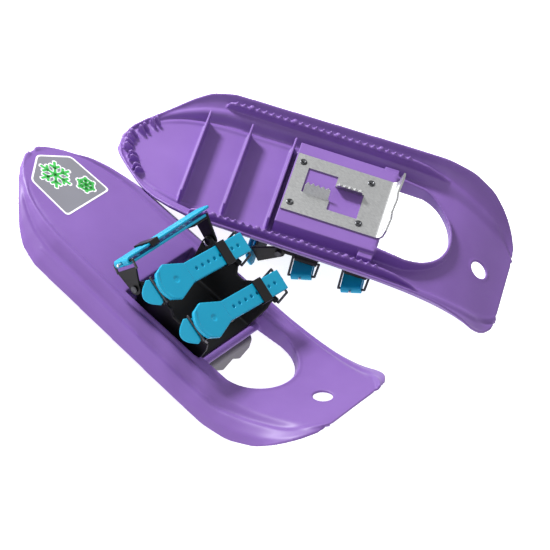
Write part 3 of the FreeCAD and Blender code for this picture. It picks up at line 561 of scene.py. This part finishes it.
def deck_rails(parts):
    """Side rails with a row of teeth, a stud at every sixth, and a fin that fades to the nose."""
    for side in (-1, 1):
        y = side * RAIL_Y
        profile = [(92, 12.5), (96, 2.0), (100, 0.2), (302, 0.2),
                   (318, 3.0), (334, 9.5), (345, 16.5), (300, 12.5)]
        parts.prism([(x, y - RAIL_T / 2, z) for x, z in profile], (0, RAIL_T, 0))
        for i in range(TOOTH_COUNT):
            x = TOOTH_START + TOOTH_PITCH * i
            if i % 6 == 2:
                parts.rod((x, y, 2.0), (x, y, -2.0), 3.2, 2.8, sides=20)
                parts.ball((x, y, -1.6), 2.8, 0.55)
            else:
                parts.rod((x, y, 2.0), (x, y, -3.4), 3.4, 1.0, sides=4)


def deck_fins(parts):
    """Short fins in pairs round the tail edge on the underside."""
    for i in range(FIN_PAIRS):
        y = ((i + 0.5) / FIN_PAIRS * 2 - 1) * 46.0
        x = 1.0 + abs(y) * 0.62
        turn = math.atan2(-y * 0.9, 40.0)
        direction = Vector((math.cos(turn), math.sin(turn), 0))
        side = Vector((-direction.y, direction.x, 0))
        for shift in (-FIN_SHIFT, FIN_SHIFT):
            start = Vector((x, y, 0)) + side * shift
            corners = [start + direction * d + Vector((0, 0, z))
                       for d, z in ((-0.5, 23), (-0.5, 11.5), (2.5, 10.5), (9, 16), (12, 23))]
            parts.prism([c - side * FIN_T / 2 for c in corners], side * FIN_T)


def hole_collar(parts):
    """Rounded edge of the nose hole."""
    centre = Vector((HOLE_X, 0, surface_z(HOLE_X, 0)))
    profile = [(HOLE_R, -2.4), (HOLE_R, -0.4), (HOLE_R + 0.9, 0.25), (HOLE_R + 3.4, 0.0),
               (HOLE_R + 3.4, -2.6), (HOLE_R + 0.7, -2.9)]
    parts.lathe(centre, NOSE_NORMAL, profile, 64)


def make_deck():
    """The one-piece moulded deck."""
    parts = Parts()
    for build in (deck_skin, deck_collar, deck_bay, deck_bar, deck_ribs, deck_rails, deck_fins,
                  hole_collar):
        build(parts)
    mesh = moulded(parts.mesh("deck"), 0.9, 7)
    place("deck_shell", mesh, [PURPLE], "frame", ["deck"])


# --- label ---------------------------------------------------------------------------------------

def rounded_outline(points, radius, steps=6):
    """Flat outline with rounded corners."""
    result = []
    n = len(points)
    for i in range(n):
        a, b, c = (Vector(points[(i + k) % n]) for k in (-1, 0, 1))
        to_a, to_c = (a - b).normalized(), (c - b).normalized()
        start, end = b + to_a * radius, b + to_c * radius
        for k in range(steps + 1):
            t = k / steps
            result.append(start * (1 - t) ** 2 + b * 2 * t * (1 - t) + end * t * t)
    return result


def inset(points, distance):
    """Convex outline moved inwards, keeping its sides parallel."""
    n = len(points)
    centre = sum((Vector(p) for p in points), Vector((0, 0))) / n
    lines = []
    for i in range(n):
        a, b = Vector(points[i]), Vector(points[(i + 1) % n])
        normal = Vector((b.y - a.y, a.x - b.x)).normalized()
        if normal.dot(centre - a) < 0:
            normal = -normal
        lines.append((a + normal * distance, b - a))
    result = []
    for i in range(n):
        (p, d), (q, e) = lines[i - 1], lines[i]
        t = ((q - p).x * e.y - (q - p).y * e.x) / (d.x * e.y - d.y * e.x)
        result.append(p + d * t)
    return result


def snowflake(centre, reach, width):
    """Bars of a plain six-armed snowflake, as flat outlines."""
    bars = []
    for i in range(6):
        t = math.radians(60 * i + 15)
        arm = Vector((math.cos(t), math.sin(t)))
        bars.append((Vector(centre), Vector(centre) + arm * reach))
        for turn in (-55, 55):
            u = t + math.radians(turn)
            start = Vector(centre) + arm * reach * 0.55
            bars.append((start, start + Vector((math.cos(u), math.sin(u))) * reach * 0.32))
    outlines = []
    for start, end in bars:
        along = (end - start).normalized() * width / 2
        side = Vector((-along.y, along.x))
        outlines.append([start - along - side, end + along * 0.6 - side, end + along,
                         end + along * 0.6 + side, start - along + side])
    return outlines


def make_label():
    """Printed tail label: white border, grey field and two plain snowflakes."""
    layers = [
        (rounded_outline(LABEL_OUTLINE, 5.0), 24.0, 24.30, 1),
        (rounded_outline(inset(LABEL_OUTLINE, 2.0), 4.0), 24.1, 24.36, 0),
    ]
    for centre, reach in (((37.0, -3.0), 17.0), ((64.0, 17.0), 9.5)):
        layers += [(bar, 24.2, 24.40, 1) for bar in snowflake(centre, reach + 0.8, 5.0)]
        layers += [(bar, 24.2, 24.44, 2) for bar in snowflake(centre, reach, 3.2)]
    parts = Parts()
    slots = []
    for points, low, high, slot in layers:
        before = len(parts.faces)
        parts.prism([(p[0], p[1], low) for p in points], (0, 0, high - low))
        slots += [slot] * (len(parts.faces) - before)
    mesh = parts.mesh("label")
    mesh.polygons.foreach_set("material_index", slots)
    place("tail_print", mesh, [LABEL_GREY, LABEL_WHITE, LABEL_GREEN], "frame",
          ["tail_label"])


# --- straps --------------------------------------------------------------------------------------

BAR_Y = 67.0
STRAP_W = 22.0
NEAR, FAR = 1.7, 4.3
CROSS = {"toe": (271.0, 279.0, 61.0), "instep": (217.0, 225.0, 65.0)}
STRAP_TILT = 18.0


class StrapFrame:
    """Places points given along, across and above a strap."""

    def __init__(self, origin, along, up):
        self.origin = Vector(origin)
        self.along = Vector(along).normalized()
        self.up = Vector(up).normalized()
        self.across = self.up.cross(self.along)

    def at(self, s, t, h):
        """Point at distance s along, t across and h above."""
        return self.origin + self.along * s + self.across * t + self.up * h


def slab(parts, place_frame, outline, low, high):
    """Flat piece from an outline of (along, across) pairs between two heights."""
    base = [place_frame.at(s, t, low) for s, t in outline]
    parts.prism(base, place_frame.up * (high - low))


def fold(parts, place_frame, width, inner, outer):
    """Half ring of strap round a bar at the frame's origin."""
    sections = []
    for i in range(19):
        t = math.pi / 2 + math.pi * i / 18
        c, s = math.cos(t), math.sin(t)
        sections.append([
            place_frame.at(inner * c, -width / 2, inner * s),
            place_frame.at(outer * c, -width / 2, outer * s),
            place_frame.at(outer * c, width / 2, outer * s),
            place_frame.at(inner * c, width / 2, inner * s),
        ])
    parts.chain(sections)


def bowed(corner_s, half_width, bow, steps=14):
    """Points of a shallow arc across the strap, from one corner to the other."""
    points = []
    for i in range(steps + 1):
        t = -1 + 2 * i / steps
        points.append((corner_s + bow * (1 - t * t), t * half_width))
    return points


def punch(mesh, cutters):
    """Cut round holes through a mesh before it is softened."""
    body = bpy.data.objects.new("body", mesh)
    tool = bpy.data.objects.new("tool", cutters.mesh("tool"))
    for o in (body, tool):
        bpy.context.scene.collection.objects.link(o)
    cut = body.modifiers.new("cut", "BOOLEAN")
    cut.operation = "DIFFERENCE"
    cut.solver = "EXACT"
    cut.use_self = True
    cut.object = tool
    graph = bpy.context.evaluated_depsgraph_get()
    result = bpy.data.meshes.new_from_object(body.evaluated_get(graph))
    for o in (body, tool):
        bpy.data.objects.remove(o)
    return result


def cross_strap_frame(name):
    """Frame at the buckle bar, and the distance to the ring bar."""
    ring_x, buckle_x, z = CROSS[name]
    along = Vector((ring_x - buckle_x, -2 * BAR_Y, 0))
    up = Matrix.Rotation(math.radians(-STRAP_TILT), 3, along) @ Vector((0, 0, 1))
    return StrapFrame((buckle_x, BAR_Y, z), along, up), along.length


def make_cross_strap(name):
    """Anchor disc, lower run, fold round the buckle, holed upper run and fan-shaped pull tab."""
    local, length = cross_strap_frame(name)
    w = STRAP_W / 2
    solid = Parts()
    slab(solid, local, [(0, -w), (length + 2.6, -w), (length + 2.6, w), (0, w)], -FAR, -NEAR)
    fold(solid, local, STRAP_W, NEAR, FAR)
    neck = length - 44.0
    slab(solid, local, [(0, -w), (neck + 4, -w), (neck + 4, w), (0, w)], NEAR, FAR)
    fan = [(neck, -w), (neck + 26, -20.0)] + bowed(length - 4, 15.0, 6.0)
    fan += [(neck + 26, 20.0), (neck, w)]
    slab(solid, local, fan, NEAR, FAR + 1.0)
    lip = bowed(length - 4, 15.0, 6.0) + list(reversed(bowed(length - 8.5, 15.5, 6.0)))
    slab(solid, local, lip, NEAR, FAR + 1.9)
    tilt = math.radians(32)
    down = StrapFrame(local.at(length + 1.8, 0, -3.0),
                      local.along * math.cos(tilt) - local.up * math.sin(tilt),
                      local.up * math.cos(tilt) + local.along * math.sin(tilt))
    disc = [(-1, -13.0), (3, -14.6)] + bowed(4.0, 13.5, 10.5) + [(3, 14.6), (-1, 13.0)]
    slab(solid, down, disc, -1.3, 1.6)
    holes = Parts()
    for i in range(8):
        centre = 11.0 + 9.5 * i
        holes.rod(local.at(centre, 0, NEAR - 1.0), local.at(centre, 0, FAR + 3), 1.9, sides=20)
    holes.lathe(local.at(length - 24, 0, FAR + 1.0), local.up,
                [(0.0, -0.7), (3.2, -0.7), (3.8, 0.6), (0.0, 0.6)], 32)
    mesh = moulded(punch(solid.mesh(name), holes), 0.55, 4)
    body = ("frame", name + "_tail_body", local.at(0, 0, -1.6), local.at(0, 0, 1.6))
    place(name + "_strap_full", mesh, [CYAN], body,
          [name + "_strap", name + "_strap_tail"])


HEEL_PIVOT = Vector((195.0, 0.0, 43.0))
HEEL_BACK, HEEL_ANGLE, HEEL_W, HEEL_Y = 29.0, 31.0, 20.0, 66.0
LINK_REACH = 21.0  # from the pivot to where the black arm ends and its wire starts


def heel_strap_frame():
    """Frame on the link bar: along points across the heel, up points backwards."""
    angle = math.radians(HEEL_ANGLE)
    back = Vector((-math.cos(angle), 0, math.sin(angle)))
    origin = HEEL_PIVOT + back * HEEL_BACK + Vector((0, -HEEL_Y + 1, 0))
    return StrapFrame(origin, (0, 1, 0), back)


def make_heel_strap():
    """Inner layer, fold round the link and outer layer with its free end."""
    local = heel_strap_frame()
    w = HEEL_W / 2
    solid = Parts()
    slab(solid, local, [(0, -w), (127, -w), (127, w), (0, w)], -4.2, -1.6)
    fold(solid, local, HEEL_W, 1.6, 4.2)
    outline = [(0, -w), (132, -w), (139, -w + 3), (141, 0), (139, w - 3), (132, w), (0, w)]
    slab(solid, local, outline, 1.6, 4.2)
    holes = Parts()
    for i in range(9):
        centre = 24.0 + 11.0 * i
        holes.rod(local.at(centre, 0, 0.8), local.at(centre, 0, 6), 1.9, sides=20)
    holes.rod(local.at(-2, 0, 0), local.at(-7, 0, 0), 1.7, sides=20)
    mesh = moulded(punch(solid.mesh("heel"), holes), 0.55, 4)
    body = ("heel_body", "heel_tail_body", local.at(0, 0, -1.6), local.at(0, 0, 1.6))
    place("heel_strap_full", mesh, [CYAN], body,
          ["heel_strap", "heel_strap_tail"])


# --- pieces that keep their CAD shape, with moulded edges ----------------------------------------

def make_moulded_pieces():
    """Binding base, heel wing and keepers: the CAD shapes with softened edges."""
    place("binding_cup", moulded(from_cad("binding_base"), 0.8, 5), [RUBBER],
          "frame", ["binding_base"])
    place("heel_wing_arm", moulded(from_cad("heel_wing"), 0.5, 6), [RUBBER],
          "heel_body", ["heel_wing"])
    for name in ("toe", "instep", "heel"):
        place(name + "_clip", moulded(from_cad(name + "_keeper"), 0.35, 4), [CLIP],
              name + "_keeper_body", [name + "_keeper"])


def make_heel_link():
    """Black arm with a bare wire bow at its end."""
    mesh = from_cad("heel_link")
    local = heel_strap_frame()
    reach = LINK_REACH - HEEL_BACK + 0.1
    wire = [(p.center / MM - local.origin).dot(local.up) > reach for p in mesh.polygons]
    mesh.polygons.foreach_set("material_index", [int(w) for w in wire])
    place("heel_arm", mesh, [RUBBER, WIRE], "heel_body", ["heel_link"])


def make_rivets():
    """Hollow rivet heads on both sides, with washers inside the binding."""
    heads, washers = Parts(), Parts()
    for x in RIVET_X:
        for y in (-RIVET_Y, RIVET_Y):
            heads.lathe((x, y, 1.45), (0, 0, -1),
                        [(0.0, 0.0), (3.9, 0.0), (4.0, 0.5), (3.5, 1.2), (2.5, 1.4),
                         (1.9, 1.1), (1.6, 0.4), (0.0, 0.3)])
            heads.lathe((x, y, 11.05), (0, 0, 1),
                        [(0.0, 0.0), (3.9, 0.0), (4.0, 0.4), (3.0, 1.1), (1.2, 1.4), (0.0, 1.4)])
            heads.rod((x, y, 1.5), (x, y, 11.1), 1.95)
            washers.lathe((x, y, 10.0), (0, 0, 1),
                          [(2.1, 0.05), (2.3, 0.0), (5.2, 0.0), (5.45, 0.25), (5.45, 0.75),
                           (5.2, 1.0), (2.3, 1.0), (2.1, 0.9)])
    for parts, name, material, slot, node in (
        (heads, "rivet_heads", RIVET, "rivet_steel", "mounting_rivets"),
        (washers, "washer_rings", STEEL, "washer_steel", "rivet_washers"),
    ):
        mesh = parts.mesh(name)
        mesh.polygons.foreach_set("use_smooth", [True] * len(mesh.polygons))
        place(name, mesh, [material], "frame", [node])


def finish_cad_nodes():
    """Steel pieces keep their CAD meshes and get procedural materials."""
    finishes = {"crampon_plate": STEEL, "heel_pivot_pins": WIRE, "heel_prong": BRIGHT}
    for name in CROSS:
        finishes[name + "_ring"] = WIRE
        finishes[name + "_buckle"] = WIRE
        finishes[name + "_prong"] = BRIGHT
    for letter in SHOES:
        for node, material in finishes.items():
            data = frame["nodes"][letter + "_" + node].data
            data.materials.clear()
            data.materials.append(material)
    # The same steel on both shoes; shoe a's is made darker here so that it looks shaded.
    frame["nodes"]["a_crampon_plate"].data.materials[0] = SHADED_STEEL


# --- surroundings --------------------------------------------------------------------------------

def make_floor():
    """Pale floor that glows a little, so that it renders near white."""
    mesh = bpy.data.meshes.new("floor")
    half = 6.0
    mesh.from_pydata([(-half, -half, 0), (half, -half, 0), (half, half, 0), (-half, half, 0)], [],
                     [(0, 1, 2, 3)])
    material, nodes, links, shader = new_material("floor_paper")
    paper = noise(nodes, links, 8.0, 2.0)
    ramp = ramp_between(nodes, links, paper.outputs["Fac"], srgb("F4F4F4"), srgb("F8F8F8"))
    links.new(ramp.outputs["Color"], shader.inputs["Base Color"])
    shader.inputs["Roughness"].default_value = 0.9
    shader.inputs["Specular IOR Level"].default_value = 0.1
    shader.inputs["Emission Color"].default_value = (1.0, 1.0, 1.0, 1.0)
    shader.inputs["Emission Strength"].default_value = 0.8
    mesh.materials.append(material)
    floor = bpy.data.objects.new("floor", mesh)
    bpy.context.scene.collection.objects.link(floor)


def aim(obj, position, target):
    """Place an object so that it looks at a point."""
    obj.location = position
    direction = Vector(target) - Vector(position)
    obj.rotation_euler = direction.to_track_quat("-Z", "Y").to_euler()


def area_light(name, position, target, size, power):
    """Square light aimed at a point."""
    data = bpy.data.lights.new(name, "AREA")
    data.size = size
    data.energy = power
    light = bpy.data.objects.new(name, data)
    bpy.context.scene.collection.objects.link(light)
    aim(light, position, target)


def make_lights():
    """White sky, a strong small key low beyond the tails and a weak fill from the near side."""
    world = bpy.data.worlds.new("studio")
    world.use_nodes = True
    world.node_tree.nodes["Background"].inputs["Color"].default_value = (1.0, 1.0, 1.0, 1.0)
    world.node_tree.nodes["Background"].inputs["Strength"].default_value = 0.55
    bpy.context.scene.world = world
    centre = (0.0, 0.0, 0.05)
    area_light("key", (-1.9, 0.05, 1.05), centre, 0.4, 68.0)
    area_light("fill", (0.6, -1.5, 1.4), centre, 1.6, 7.0)


# Camera: position in metres, view axes, and focal length in widths of the frame.
CAMERA_AT = (0.60171, -2.65059, 2.47724)
CAMERA_FORWARD = (-0.156351, 0.723834, -0.672025)
CAMERA_UP = (-0.713207, 0.387959, 0.583801)
CAMERA_FOCAL = 3508.99 / 550.0


def make_camera():
    """Camera that sees both shoes from above the near side."""
    data = bpy.data.cameras.new("camera")
    data.sensor_width = 36.0
    data.lens = CAMERA_FOCAL * data.sensor_width
    data.clip_end = 50.0
    camera = bpy.data.objects.new("camera", data)
    bpy.context.scene.collection.objects.link(camera)
    forward, up = Vector(CAMERA_FORWARD).normalized(), Vector(CAMERA_UP).normalized()
    right = forward.cross(up).normalized()
    up = right.cross(forward)
    rotation = Matrix((right, up, -forward)).transposed()
    camera.matrix_world = Matrix.Translation(CAMERA_AT) @ rotation.to_4x4()
    bpy.context.scene.camera = camera
    bpy.context.scene.view_settings.view_transform = "Standard"


make_deck()
make_label()
for strap in CROSS:
    make_cross_strap(strap)
make_heel_strap()
make_moulded_pieces()
make_heel_link()
make_rivets()
finish_cad_nodes()
make_floor()
make_lights()
make_camera()
